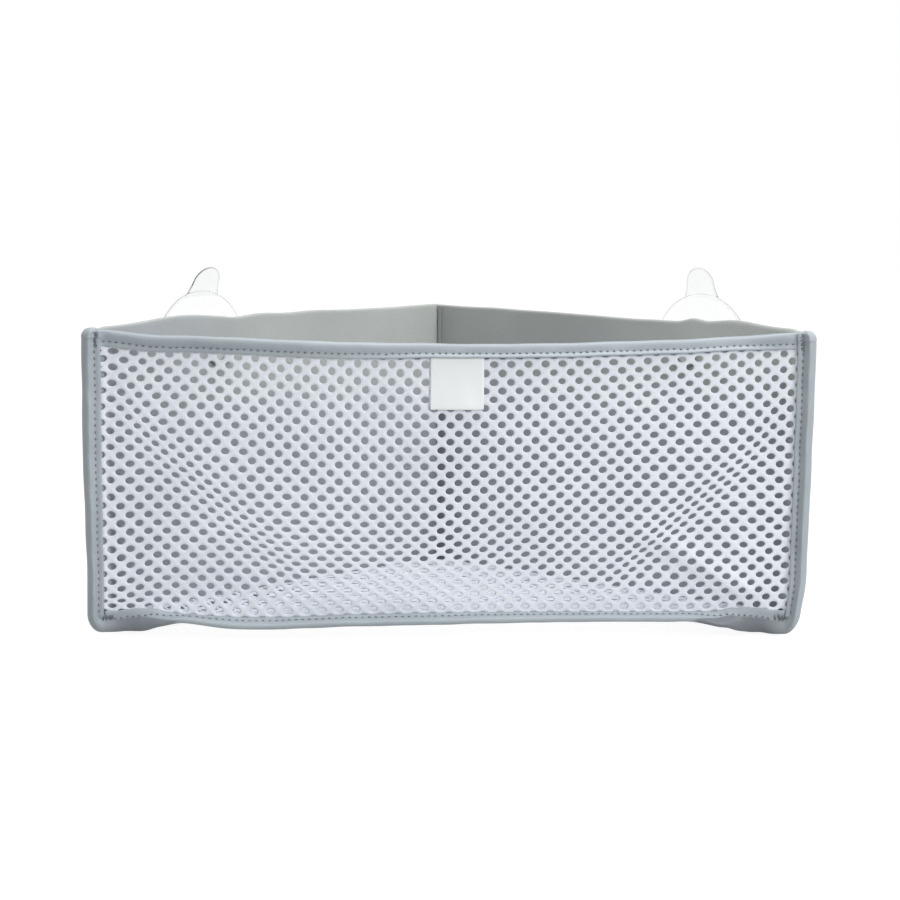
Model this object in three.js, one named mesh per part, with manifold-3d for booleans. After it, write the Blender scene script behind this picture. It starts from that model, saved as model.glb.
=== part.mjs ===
// Corner bath toy organizer. Two foam cloth walls stand in the corner of a bath, a knitted net closes
// the front and the bottom, cloth tape binds the seams, and two suction cups hold it to the tiles.
// Millimetres. +Z is up, the front faces -Y, and the origin lies under the middle of the object.
import * as THREE from "three";
import { mergeVertices } from "three/addons/utils/BufferGeometryUtils.js";
import Module from "manifold-3d";

const wasm = await Module();
wasm.setup();

// Whole object
const WALL_LENGTH = 254; // inside, from the corner seam to the front seam
const WALL_HEIGHT = 159; // floor to the top edge at the corners
const CORNER_TURN = THREE.MathUtils.degToRad(45); // each wall against the front-to-back line

// Cloth layers
const WALL_THICKNESS = 3;
const NET_THICKNESS = 1;
const TAPE_THICKNESS = 0.8;
const LABEL_THICKNESS = 0.6;
const LAYER_GAP = 0.3; // between layers that lie on each other

// Bound seams
const SEAM_DEPTH = 11; // how far the panels stand out into a seam
const TAPE_SETBACK = 3; // from a seam's foot to the edge of its tape
const TAPE_ROUND = 1.6; // outside corners of the fold
const TAPE_END_ROUND = 0.6; // top end of the upright tape
const LOWER_SEAM_TURN = THREE.MathUtils.degToRad(70); // from straight down towards the front
const SEAM_END_GAP = 0.6; // where a front tape ends at a side tape or a wall
const HEM_SAG = 6.5; // middle of the top hem below its ends

// Corner seam
const CORNER_ALLOWANCE = 8; // bare edges behind the corner
const CORNER_ALLOWANCE_LIFT = 2; // above the bottom tape

// Knitted net
const NET_PITCH_ACROSS = 22;
const NET_PITCH_UP = 20.6; // two staggered rows
const NET_GAP_WIDTH = 12;
const NET_GAP_HEIGHT = 7.6;
const NET_GAP_SIDES = 6;
const NET_BORDER = 6; // closed cloth between the outer gaps and a seam

// Label
const LABEL_WIDTH = 28;
const LABEL_DROP = 25.5; // below the hem
const LABEL_TUCK = 6; // inside the hem
const LABEL_SHIFT = 3.4; // right of the middle
const LABEL_CORNER = 1.5;

// Suction cups
const LEFT_CUP_INSET = 80; // along the wall, from the front seam
const RIGHT_CUP_INSET = 71.5;
const LEFT_TAB_LEAN = THREE.MathUtils.degToRad(26); // the pull tab stands off the tile
const RIGHT_TAB_LEAN = THREE.MathUtils.degToRad(11);
const CUP_DROP = 16.2; // stud below the wall's height
const CUP_RADIUS = 32;
const CUP_DEPTH = 8;
const CUP_LIP = 1.2;
const CUP_RIM = 2.5; // flat ring that meets the tile
const CUP_CROWN = 3; // thickness over the hub
const CUP_FLARE = 1.6; // how late the bell opens
const HUB_RADIUS = 7.5;
const HUB_DEPTH = 4;
const NECK_RADIUS = 4.5;
const NECK_CLEARANCE = 0.4; // round the neck, in the wall's hole
const HEAD_RADIUS = 8;
const HEAD_DEPTH = 4;
const HEAD_ROUND = 1.5;
const TAB_WIDTH = 22.4; // at its root
const TAB_TIP_RADIUS = 9.4;
const TAB_LENGTH = 14.5; // beyond the rim
const TAB_ROOT = 4; // inside the rim
const TAB_THICKNESS = 1.6;
const TAB_SETBACK = 0.4; // behind the rim's face
const WALL_HUMP = 4; // the wall's edge rises between the cup and the front seam
const WALL_HUMP_REACH = 46; // half the length of that rise

// Steps along curves
const ROUND_STEPS = 3;
const CORNER_STEPS = 6;
const HUMP_STEPS = 12;
const HEM_STEPS = 12;
const BELL_STEPS = 7;
const CUP_STEPS = 36;
const WELD = 1e-4; // vertices closer than this are one

// Places that follow from the sizes
const UPRIGHT_SEAM_TURN = (Math.PI / 2 - CORNER_TURN) / 2; // front seams stand between wall and net
const TAPE_REACH = SEAM_DEPTH - TAPE_SETBACK; // how far the tape folds back over the panels
const TAPE_FOLD = LAYER_GAP + TAPE_THICKNESS; // panel edge to the outside of the fold
const SEAM_CORNER_ROUND = SEAM_DEPTH - TAPE_SETBACK / 2; // lower front corner of each wall
const HALF_FRONT = WALL_LENGTH * Math.sin(CORNER_TURN);
const NET_FACE = NET_THICKNESS / 2; // the front net lies about y = 0
const CORNER_Y = WALL_LENGTH * Math.cos(CORNER_TURN) + NET_FACE + LAYER_GAP / Math.cos(UPRIGHT_SEAM_TURN);
const MITRE = LAYER_GAP / 2 / Math.sin(CORNER_TURN); // keeps the two walls apart at the corner
const TAPE_TOP = TAPE_FOLD + TAPE_REACH; // upper edge of the bottom tape
const BOTTOM_NET_Z = TAPE_TOP + LAYER_GAP + NET_FACE;
const BOTTOM_NET_FRONT = NET_FACE + LAYER_GAP;
const CUP_Z = WALL_HEIGHT - CUP_DROP;
const HUB_START = WALL_THICKNESS + LAYER_GAP; // distances out from the wall's inside face
const HUB_END = HUB_START + HUB_DEPTH;
const RIM_FACE = HUB_END + CUP_DEPTH;

// Room between the two sides of each fold of tape, across the layers that it holds
const UPRIGHT_SLOT = [-NET_THICKNESS - 2 * LAYER_GAP, WALL_THICKNESS + LAYER_GAP];
const LOWER_SLOT = [-NET_THICKNESS - 1.5 * LAYER_GAP, NET_THICKNESS + 1.5 * LAYER_GAP];
const HEM_SLOT = [-NET_FACE - 2 * LAYER_GAP - LABEL_THICKNESS, NET_FACE + LAYER_GAP];

// Half lengths of the front tapes: the hem ends at the walls, the lower tape at the side tapes
const HEM_BACK = HEM_SLOT[1] + TAPE_THICKNESS;
const HEM_HALF = (CORNER_Y - HEM_BACK) * Math.tan(CORNER_TURN) - SEAM_END_GAP;
const SIDE_TAPE_INSIDE = (UPRIGHT_SLOT[0] - TAPE_THICKNESS) / Math.cos(CORNER_TURN);
const LOWER_TAPE_HALF =
  (CORNER_Y - BOTTOM_NET_FRONT) * Math.tan(CORNER_TURN) + SIDE_TAPE_INSIDE - SEAM_END_GAP;

// Solids
function toSolid(geometry) {
  const bare = geometry.clone();
  bare.deleteAttribute("normal");
  bare.deleteAttribute("uv");
  const welded = mergeVertices(bare, WELD);
  const mesh = new wasm.Mesh({
    numProp: 3,
    vertProperties: welded.getAttribute("position").array,
    triVerts: new Uint32Array(welded.index.array),
  });
  return new wasm.Manifold(mesh);
}

function toGeometry(solid) {
  const mesh = solid.getMesh();
  const geometry = new THREE.BufferGeometry();
  geometry.setAttribute("position", new THREE.BufferAttribute(mesh.vertProperties, mesh.numProp));
  geometry.setIndex(new THREE.BufferAttribute(mesh.triVerts, 1));
  geometry.computeVertexNormals();
  return geometry;
}

function join(...geometries) {
  return toGeometry(geometries.map(toSolid).reduce((whole, part) => whole.add(part)));
}

// A closed solid through rings of points that share one outline, capped at both ends.
function loft(outline, rings) {
  const count = outline.length;
  const last = (rings.length - 1) * count;
  const faces = [];
  for (const [a, b, c] of THREE.ShapeUtils.triangulateShape(outline, [])) {
    faces.push(a, c, b);
    faces.push(last + a, last + b, last + c);
  }
  for (let low = 0; low < last; low += count) {
    for (let i = 0; i < count; i += 1) {
      const j = (i + 1) % count;
      faces.push(low + i, low + j, low + count + j);
      faces.push(low + i, low + count + j, low + count + i);
    }
  }
  const geometry = new THREE.BufferGeometry();
  geometry.setFromPoints(rings.flat());
  geometry.setIndex(faces);
  return geometry;
}

// One ring of a loft. The outline's first axis points out of a seam, its second across the layers.
function ring(outline, origin, outward, across) {
  return outline.map((point) =>
    origin.clone().addScaledVector(outward, point.x).addScaledVector(across, point.y),
  );
}

// An upright plate drawn across and up, with its thickness from zero towards +Y.
function plate(shape, thickness) {
  const geometry = new THREE.ExtrudeGeometry(shape, {
    depth: thickness,
    bevelEnabled: false,
    curveSegments: CORNER_STEPS,
  });
  geometry.rotateX(Math.PI / 2);
  geometry.translate(0, thickness, 0);
  return geometry;
}

function polygon(points) {
  return new THREE.Shape(points.map(([x, y]) => new THREE.Vector2(x, y)));
}

function rectangle(left, right, low, high) {
  return polygon([[left, low], [right, low], [right, high], [left, high]]);
}

function vector(x, y, z) {
  return new THREE.Vector3(x, y, z);
}

// Folded tape: its outside, and the whole section with the slot that takes the panels' edges
function tapeSkin([low, high]) {
  const points = [new THREE.Vector2(-TAPE_REACH, low - TAPE_THICKNESS)];
  const centre = TAPE_FOLD - TAPE_ROUND;
  const lowCentre = low - TAPE_THICKNESS + TAPE_ROUND;
  const highCentre = high + TAPE_THICKNESS - TAPE_ROUND;
  for (const [start, level] of [[-Math.PI / 2, lowCentre], [0, highCentre]]) {
    for (let i = 0; i <= ROUND_STEPS; i += 1) {
      const turn = start + (i / ROUND_STEPS) * (Math.PI / 2);
      const out = centre + TAPE_ROUND * Math.cos(turn);
      points.push(new THREE.Vector2(out, level + TAPE_ROUND * Math.sin(turn)));
    }
  }
  points.push(new THREE.Vector2(-TAPE_REACH, high + TAPE_THICKNESS));
  return points;
}

function tapeSection([low, high]) {
  return [
    ...tapeSkin([low, high]),
    new THREE.Vector2(-TAPE_REACH, high),
    new THREE.Vector2(LAYER_GAP, high),
    new THREE.Vector2(LAYER_GAP, low),
    new THREE.Vector2(-TAPE_REACH, low),
  ];
}

// Knit: staggered oval gaps wherever the drawing has room for one
function addNetGaps(shape, low, high, hasRoom) {
  const columns = Math.ceil(HALF_FRONT / NET_PITCH_ACROSS);
  const rows = Math.floor((2 * (high - low)) / NET_PITCH_UP);
  for (let row = 0; row <= rows; row += 1) {
    const y = low + (row * NET_PITCH_UP) / 2;
    for (let column = -columns; column <= columns; column += 1) {
      const x = (column + (row % 2) / 2) * NET_PITCH_ACROSS;
      if (hasRoom(x, y)) shape.holes.push(netGap(x, y));
    }
  }
}

function netGap(x, y) {
  const points = [];
  for (let i = 0; i < NET_GAP_SIDES; i += 1) {
    const turn = (i / NET_GAP_SIDES) * 2 * Math.PI;
    const across = (NET_GAP_WIDTH / 2) * Math.cos(turn);
    const up = (NET_GAP_HEIGHT / 2) * Math.sin(turn);
    points.push(new THREE.Vector2(x + across, y + up));
  }
  return new THREE.Path(points);
}

// Walls, drawn with the corner seam at the left and the inside face at y = 0
function wallGeometry(cupPlace) {
  const face = new THREE.Shape();
  face.moveTo(MITRE, TAPE_FOLD);
  face.lineTo(WALL_LENGTH, TAPE_FOLD);
  for (let i = 0; i <= HUMP_STEPS; i += 1) {
    const offset = WALL_HUMP_REACH * (1 - (2 * i) / HUMP_STEPS);
    const rise = (WALL_HUMP / 2) * (1 + Math.cos((Math.PI * offset) / WALL_HUMP_REACH));
    face.lineTo(WALL_LENGTH - WALL_HUMP_REACH + offset, WALL_HEIGHT + rise);
  }
  face.lineTo(MITRE, WALL_HEIGHT);
  const hole = new THREE.Path();
  hole.absarc(cupPlace, CUP_Z, NECK_RADIUS + NECK_CLEARANCE, 0, 2 * Math.PI);
  face.holes.push(hole);

  const seam = new THREE.Shape();
  const roundStart = SEAM_DEPTH - SEAM_CORNER_ROUND;
  seam.moveTo(0, TAPE_FOLD);
  seam.lineTo(roundStart, TAPE_FOLD);
  seam.absarc(roundStart, TAPE_FOLD + SEAM_CORNER_ROUND, SEAM_CORNER_ROUND, -Math.PI / 2, 0);
  seam.lineTo(SEAM_DEPTH, WALL_HEIGHT);
  seam.lineTo(0, WALL_HEIGHT);
  const seamPlate = plate(seam, WALL_THICKNESS);
  seamPlate.rotateZ(UPRIGHT_SEAM_TURN);
  seamPlate.translate(WALL_LENGTH, 0, 0);

  const allowance = rectangle(-CORNER_ALLOWANCE, 0, TAPE_TOP + CORNER_ALLOWANCE_LIFT, WALL_HEIGHT);
  const allowancePlate = plate(allowance, WALL_THICKNESS);
  allowancePlate.rotateZ(-CORNER_TURN);
  allowancePlate.translate(MITRE, 0, 0);

  return join(plate(face, WALL_THICKNESS), seamPlate, allowancePlate);
}

// Tape along the foot of a wall, round its lower front corner and up the front seam
function sideTapeGeometry() {
  const section = tapeSection(UPRIGHT_SLOT);
  const down = vector(0, 0, -1);
  const seamOut = vector(Math.cos(UPRIGHT_SEAM_TURN), Math.sin(UPRIGHT_SEAM_TURN), 0);
  const seamAcross = vector(-Math.sin(UPRIGHT_SEAM_TURN), Math.cos(UPRIGHT_SEAM_TURN), 0);
  const seamPoint = (along, z) => vector(WALL_LENGTH, 0, z).addScaledVector(seamOut, along);

  const cornerMitre = vector(-1 / Math.tan(CORNER_TURN), 1, 0);
  const bendMitre = vector(-Math.tan(UPRIGHT_SEAM_TURN / 2), 1, 0);
  const rings = [
    ring(section, vector(MITRE, 0, TAPE_FOLD), down, cornerMitre),
    ring(section, vector(WALL_LENGTH, 0, TAPE_FOLD), down, bendMitre),
  ];
  for (let i = 0; i <= CORNER_STEPS; i += 1) {
    const turn = (i / CORNER_STEPS) * (Math.PI / 2);
    const along = SEAM_DEPTH - SEAM_CORNER_ROUND * (1 - Math.sin(turn));
    const z = TAPE_FOLD + SEAM_CORNER_ROUND * (1 - Math.cos(turn));
    const outward = seamOut.clone().multiplyScalar(Math.sin(turn));
    outward.addScaledVector(down, Math.cos(turn));
    rings.push(ring(section, seamPoint(along, z), outward, seamAcross));
  }
  const top = WALL_HEIGHT + TAPE_FOLD;
  rings.push(ring(section, seamPoint(SEAM_DEPTH, top), seamOut, seamAcross));

  const skin = tapeSkin(UPRIGHT_SLOT);
  const middle = new THREE.Box2().setFromPoints(skin).getCenter(new THREE.Vector2());
  const inset = skin.map((point) => point.clone().lerp(middle, TAPE_END_ROUND / TAPE_REACH));
  const cap = loft(skin, [
    ring(skin, seamPoint(SEAM_DEPTH, WALL_HEIGHT + LAYER_GAP), seamOut, seamAcross),
    ring(skin, seamPoint(SEAM_DEPTH, top), seamOut, seamAcross),
    ring(inset, seamPoint(SEAM_DEPTH, top + TAPE_END_ROUND), seamOut, seamAcross),
  ]);
  return join(loft(section, rings), cap);
}

// Lower front seam: both nets turn out of their panels and lie together inside the tape
const lowerOut = vector(0, -Math.sin(LOWER_SEAM_TURN), -Math.cos(LOWER_SEAM_TURN));
const lowerAcross = vector(0, -Math.cos(LOWER_SEAM_TURN), Math.sin(LOWER_SEAM_TURN));

// Height at which the line at a distance across the seam passes over a point at y, seen from there.
function riseTo(across, y) {
  return (across - y * lowerAcross.y) / lowerAcross.z;
}

const bottomNetBend = vector(0, BOTTOM_NET_FRONT, BOTTOM_NET_Z + NET_FACE);
const lowerFoot = vector(0, 0, bottomNetBend.z - riseTo(-LAYER_GAP / 2, BOTTOM_NET_FRONT));
const frontNetBend = vector(0, NET_FACE, lowerFoot.z + riseTo(LAYER_GAP / 2, NET_FACE));

// A bar along X whose section is drawn in the lower seam's own axes.
function lowerSeamBar(section, origin, half) {
  const end = vector(half, 0, 0);
  return loft(section, [
    ring(section, origin.clone().add(end), lowerOut, lowerAcross),
    ring(section, origin.clone().sub(end), lowerOut, lowerAcross),
  ]);
}

// A net's edge inside the seam, from its bend to the tape's fold.
function seamStrip(bend, low, high) {
  const length = SEAM_DEPTH - bend.clone().sub(lowerFoot).dot(lowerOut);
  return lowerSeamBar(rectangle(0, length, low, high).getPoints(), bend, LOWER_TAPE_HALF - LAYER_GAP);
}

function lowerTapeGeometry() {
  const edge = lowerFoot.clone().addScaledVector(lowerOut, SEAM_DEPTH);
  return lowerSeamBar(tapeSection(LOWER_SLOT), edge, LOWER_TAPE_HALF);
}

// Top hem: an arc that meets the walls' height at the corners
function hemZ(x) {
  return WALL_HEIGHT - TAPE_FOLD - HEM_SAG * (1 - (x / HALF_FRONT) ** 2);
}

function hemTapeGeometry() {
  const section = tapeSection(HEM_SLOT);
  const rings = [];
  for (let i = 0; i <= HEM_STEPS; i += 1) {
    const x = HEM_HALF * (1 - (2 * i) / HEM_STEPS);
    rings.push(ring(section, vector(x, 0, hemZ(x)), vector(0, 0, 1), vector(0, 1, 0)));
  }
  return loft(section, rings);
}

// Front net: the panel, its side edges in the upright seams and its foot in the lower seam
function frontNetGeometry() {
  const foot = frontNetBend.z;
  const top = hemZ(HALF_FRONT);
  const panel = polygon([[-HALF_FRONT, foot], [HALF_FRONT, foot], [HALF_FRONT, top]]);
  panel.quadraticCurveTo(0, 2 * hemZ(0) - top, -HALF_FRONT, top);
  const border = NET_BORDER + NET_GAP_HEIGHT / 2;
  const sideBorder = NET_BORDER + NET_GAP_WIDTH / 2;
  addNetGaps(panel, foot + border, top, (x, z) => {
    const underHem = z <= hemZ(x) - TAPE_REACH - border;
    return underHem && Math.abs(x) <= HALF_FRONT - sideBorder;
  });
  const panelPlate = plate(panel, NET_THICKNESS);
  panelPlate.translate(0, -NET_FACE, 0);

  const edges = [-1, 1].map((side) => {
    const reach = [0, side * SEAM_DEPTH];
    const edge = plate(rectangle(Math.min(...reach), Math.max(...reach), foot, top), NET_THICKNESS);
    edge.translate(0, -NET_THICKNESS, 0);
    edge.rotateZ(-side * UPRIGHT_SEAM_TURN);
    edge.translate(side * HALF_FRONT, NET_FACE, 0);
    return edge;
  });
  return join(panelPlate, ...edges, seamStrip(frontNetBend, 0, NET_THICKNESS));
}

// Bottom net: a triangle whose edges turn down inside the walls' tape and into the lower seam
function bottomNetGeometry() {
  const front = BOTTOM_NET_FRONT;
  const frontHalf = ((CORNER_Y - front) * Math.sin(CORNER_TURN) - LAYER_GAP) / Math.cos(CORNER_TURN);
  const back = CORNER_Y - LAYER_GAP / Math.sin(CORNER_TURN);
  const panel = polygon([[-frontHalf, front], [frontHalf, front], [0, back]]);
  const border = NET_BORDER + NET_GAP_HEIGHT / 2;
  const wallBorder = NET_BORDER + NET_GAP_WIDTH / 2;
  addNetGaps(panel, front + border, back, (x, y) => {
    const toWall = (CORNER_Y - y) * Math.sin(CORNER_TURN) - Math.abs(x) * Math.cos(CORNER_TURN);
    return toWall >= wallBorder;
  });
  const panelPlate = new THREE.ExtrudeGeometry(panel, { depth: NET_THICKNESS, bevelEnabled: false });
  panelPlate.translate(0, 0, BOTTOM_NET_Z - NET_FACE);

  const edges = [-1, 1].map((side) => {
    const ends = [2 * NET_THICKNESS, WALL_LENGTH - SEAM_DEPTH];
    const edge = plate(rectangle(...ends, TAPE_FOLD, BOTTOM_NET_Z), NET_THICKNESS);
    edge.translate(0, side < 0 ? LAYER_GAP : -LAYER_GAP - NET_THICKNESS, 0);
    edge.rotateZ(side * CORNER_TURN - Math.PI / 2);
    edge.translate(0, CORNER_Y, 0);
    return edge;
  });
  return join(panelPlate, ...edges, seamStrip(bottomNetBend, -NET_THICKNESS, 0));
}

// Label: a folded square of ribbon, sewn under the hem
function labelGeometry() {
  const hemEdge = hemZ(LABEL_SHIFT) - TAPE_REACH;
  const half = LABEL_WIDTH / 2;
  const foot = hemEdge - LABEL_DROP;
  const shape = polygon([[half, hemEdge + LABEL_TUCK], [-half, hemEdge + LABEL_TUCK]]);
  shape.lineTo(-half, foot + LABEL_CORNER);
  shape.quadraticCurveTo(-half, foot, -half + LABEL_CORNER, foot);
  shape.lineTo(half - LABEL_CORNER, foot);
  shape.quadraticCurveTo(half, foot, half, foot + LABEL_CORNER);
  const label = plate(shape, LABEL_THICKNESS);
  label.translate(LABEL_SHIFT, -NET_FACE - LAYER_GAP - LABEL_THICKNESS, 0);
  return label;
}

// Suction cup, turned about +Y: a head inside the wall, a neck through it, a hub and a bell outside
function cupGeometry(tabLean) {
  const headFace = -LAYER_GAP;
  const headEnd = headFace - HEAD_DEPTH;
  const profile = [
    [0, headEnd],
    [HEAD_RADIUS - HEAD_ROUND, headEnd],
    [HEAD_RADIUS, headEnd + HEAD_ROUND],
    [HEAD_RADIUS, headFace],
    [NECK_RADIUS, headFace],
    [NECK_RADIUS, HUB_START],
    [HUB_RADIUS, HUB_START],
  ];
  for (let i = 0; i <= BELL_STEPS; i += 1) {
    const share = i / BELL_STEPS;
    const radius = HUB_RADIUS + (CUP_RADIUS - HUB_RADIUS) * share;
    profile.push([radius, HUB_END + (CUP_DEPTH - CUP_LIP) * share ** CUP_FLARE]);
  }
  profile.push([CUP_RADIUS, RIM_FACE]);
  for (let i = BELL_STEPS; i >= 0; i -= 1) {
    const share = i / BELL_STEPS;
    const hollow = (CUP_DEPTH - CUP_CROWN) * (1 - share ** 2);
    profile.push([(CUP_RADIUS - CUP_RIM) * share, RIM_FACE - hollow]);
  }
  const bell = new THREE.LatheGeometry(
    profile.map(([radius, out]) => new THREE.Vector2(radius, out)),
    CUP_STEPS,
  );

  const half = TAB_WIDTH / 2;
  const tip = TAB_ROOT + TAB_LENGTH - TAB_TIP_RADIUS;
  const tab = polygon([[-half, 0], [half, 0]]);
  tab.lineTo(TAB_TIP_RADIUS, tip);
  tab.absarc(0, tip, TAB_TIP_RADIUS, 0, Math.PI);
  const tabPlate = plate(tab, TAB_THICKNESS);
  tabPlate.rotateX(tabLean);
  tabPlate.translate(0, RIM_FACE - TAB_SETBACK - TAB_THICKNESS, CUP_RADIUS - TAB_ROOT);
  return join(bell, tabPlate);
}

// Assembly
const foam = { color: 0x9b9d9a, roughness: 0.95, metalness: 0 };
const tape = { color: 0xa9b0b5, roughness: 0.6, metalness: 0 };
const knit = { color: 0xeef0f2, roughness: 0.8, metalness: 0 };
const ribbon = { color: 0xe4e5e4, roughness: 0.7, metalness: 0 };
const clearVinyl = { color: 0xf1f4f5, roughness: 0.15, metalness: 0 };

function piece(name, geometry, finish) {
  const mesh = new THREE.Mesh(geometry, new THREE.MeshStandardMaterial(finish));
  mesh.name = name;
  return mesh;
}

// One wall with its tape and its cup, drawn for the right; the left one is its mirror image.
function side(name, mirror, cupInset, tabLean) {
  const cupPlace = WALL_LENGTH - cupInset;
  const cup = piece(`${name}_suction_cup`, cupGeometry(tabLean), clearVinyl);
  cup.position.set(cupPlace, 0, CUP_Z);
  const turned = new THREE.Group();
  turned.add(piece(`${name}_wall`, wallGeometry(cupPlace), foam));
  turned.add(piece(`${name}_binding`, sideTapeGeometry(), tape));
  turned.add(cup);
  turned.position.y = CORNER_Y;
  turned.rotation.z = CORNER_TURN - Math.PI / 2;
  const half = new THREE.Group();
  half.scale.x = mirror;
  half.add(turned);
  return half;
}

const model = new THREE.Group();
model.add(side("left", -1, LEFT_CUP_INSET, LEFT_TAB_LEAN));
model.add(side("right", 1, RIGHT_CUP_INSET, RIGHT_TAB_LEAN));
model.add(piece("front_net", frontNetGeometry(), knit));
model.add(piece("bottom_net", bottomNetGeometry(), knit));
model.add(piece("top_hem_binding", hemTapeGeometry(), tape));
model.add(piece("lower_front_binding", lowerTapeGeometry(), tape));
model.add(piece("label", labelGeometry(), ribbon));

const box = new THREE.Box3().setFromObject(model, true);
model.position.y = -(box.min.y + box.max.y) / 2;

const organizer = new THREE.Group();
organizer.add(model);

export default organizer;
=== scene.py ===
from math import asin, ceil, copysign, cos, floor, pi, radians, sin, sqrt, tan

import bmesh
import bpy
import numpy as np
from mathutils import Matrix, Vector


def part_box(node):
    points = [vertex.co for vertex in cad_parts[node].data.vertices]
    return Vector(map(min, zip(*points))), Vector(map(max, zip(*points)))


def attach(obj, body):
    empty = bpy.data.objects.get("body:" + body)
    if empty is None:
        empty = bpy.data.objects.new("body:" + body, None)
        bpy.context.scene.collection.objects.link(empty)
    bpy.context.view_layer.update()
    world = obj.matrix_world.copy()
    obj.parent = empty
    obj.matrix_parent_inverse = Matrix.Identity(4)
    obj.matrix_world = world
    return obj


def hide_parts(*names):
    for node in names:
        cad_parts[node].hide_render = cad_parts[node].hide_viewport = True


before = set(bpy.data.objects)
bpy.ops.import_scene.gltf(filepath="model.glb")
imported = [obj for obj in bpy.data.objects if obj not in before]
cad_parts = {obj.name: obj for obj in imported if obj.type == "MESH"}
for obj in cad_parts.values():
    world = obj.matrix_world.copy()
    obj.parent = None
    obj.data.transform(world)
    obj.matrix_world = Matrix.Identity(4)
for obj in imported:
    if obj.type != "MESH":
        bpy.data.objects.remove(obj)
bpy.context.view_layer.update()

MM = 0.001

# Sizes in millimetres, the same as in the part's source
WALL_LENGTH = 254.0
WALL_HEIGHT = 159.0
WALL_THICKNESS = 3.0
NET_THICKNESS = 1.0
TAPE_THICKNESS = 0.8
LABEL_THICKNESS = 0.6
LAYER_GAP = 0.3
SEAM_DEPTH = 11.0
TAPE_REACH = 8.0
TAPE_FOLD = LAYER_GAP + TAPE_THICKNESS
TAPE_WIDTH = TAPE_REACH + TAPE_FOLD
SEAM_CORNER = 8.4
SEAM_TURN = radians(22.5)
SEAM_COS, SEAM_SIN = cos(SEAM_TURN), sin(SEAM_TURN)
HEM_SAG = 6.5
ALLOWANCE = 8.0
ALLOWANCE_LIFT = 2.0
LABEL_WIDTH = 28.0
LABEL_DROP = 25.5
LABEL_TUCK = 6.0
LABEL_SHIFT = 3.4
LABEL_CORNER = 0.6
CUP_INSET = {-1: 80.0, 1: 71.5}
TAB_LEAN = {-1: radians(26), 1: radians(11)}
CUP_DROP = 16.2
CUP_RADIUS = 32.0
CUP_DEPTH = 8.0
CUP_LIP = 1.2
CUP_RIM = 2.5
CUP_CROWN = 3.0
CUP_FLARE = 1.6
HUB_RADIUS = 7.5
HUB_DEPTH = 4.0
NECK_RADIUS = 4.5
NECK_CLEARANCE = 0.4
HEAD_RADIUS = 8.0
HEAD_DEPTH = 4.0
HEAD_ROUND = 1.5
TAB_WIDTH = 22.4
TAB_TIP_RADIUS = 9.4
TAB_LENGTH = 14.5
TAB_ROOT = 4.0
TAB_THICKNESS = 1.6
TAB_SETBACK = 0.4

# Places that follow from the sizes
SIDES = {-1: "left", 1: "right"}
HALF = sqrt(0.5)
NET_FACE = NET_THICKNESS / 2
FRONT_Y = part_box("label")[1].y / MM + NET_FACE + LAYER_GAP
HALF_FRONT = WALL_LENGTH * HALF
CORNER_Y = FRONT_Y + HALF_FRONT + NET_FACE + LAYER_GAP / SEAM_COS
MITRE = LAYER_GAP / 2 / HALF
TAPE_TOP = TAPE_FOLD + TAPE_REACH
BOTTOM_Z = TAPE_TOP + LAYER_GAP + NET_FACE
FOOT_Z = BOTTOM_Z - 0.4
CUP_Z = WALL_HEIGHT - CUP_DROP
UPRIGHT_SLOT = (-NET_THICKNESS - 2 * LAYER_GAP, WALL_THICKNESS + LAYER_GAP)
HEM_SLOT = (-NET_FACE - 2 * LAYER_GAP - LABEL_THICKNESS, NET_FACE + LAYER_GAP)

# Cloth detail
STITCH_LINE = 6.1
STITCH_PITCH = 3.5
STITCH_LENGTH = 1.6
THREAD_RADIUS = 0.32
TAPE_STEP = 1.3
TAPE_END_STEP = 0.3
TAPE_END = 7.0
TAPE_END_ROUND = 5.0
TAPE_EDGE_ROUND = 3.0
TAPE_CLOSING = 2.4
FACE_STEPS = 26
INNER_STEPS = 6
TAPE_ROLL = 0.34
UPRIGHT_ROLL = 1.05
CORNER_TAPE_DROP = {-1: 0.5, 1: 1.3}
CORNER_TAPE_SPREAD = {-1: 0.3, 1: 0.46}
LOWER_TAPE_HALF = 1.45
HEM_WIDTH = 8.4
HEM_LINE = 5.9
NET_ACROSS = 8.95
NET_UP = 8.4
NET_SPAN = (-200, 200)
HOLE_WIDTH = 4.5
HOLE_HEIGHT = 3.15
YARN_ROUND = 0.55
# Painted shade on the walls: the height below which the inside darkens, and the reach of the dark strip by
# the seam
INSIDE_SHADE_Z = 137.0
SEAM_SHADE_REACH = 15.0
GATHER_X = {-1: 121.4, 1: 132.0}
GATHER_Z = 70.0
GATHER_SLOPE = radians(41)
GATHER_WIDTH = 13.0
GATHER_SHARE = {-1: 0.24, 1: 0.34}


def ripple(s, lengths, seed):
    """A smooth wave along s, within -1 and 1."""
    rng = np.random.default_rng(seed)
    waves = [np.sin(2 * pi * s / length + rng.uniform(0, 2 * pi)) for length in lengths]
    return sum(waves) / len(waves)


def swell(x, y, size, seed):
    """Smooth waves over a plane, about -1 to 1, of about the given size."""
    rng = np.random.default_rng(seed)
    total = 0
    for _ in range(6):
        turn, length = rng.uniform(0, pi), size * rng.uniform(0.7, 1.5)
        phase = rng.uniform(0, 2 * pi)
        total = total + np.sin(2 * pi * (x * np.cos(turn) + y * np.sin(turn)) / length + phase)
    return total / 3


def ease(t):
    """0 to 1 with a soft start and end."""
    t = np.clip(t, 0, 1)
    return t * t * (3 - 2 * t)


def hump(x, centre, width):
    """A smooth hump of height 1."""
    return np.exp(-(((x - centre) / width) ** 2))


def unit(v):
    return v / np.linalg.norm(v, axis=-1, keepdims=True)


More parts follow.
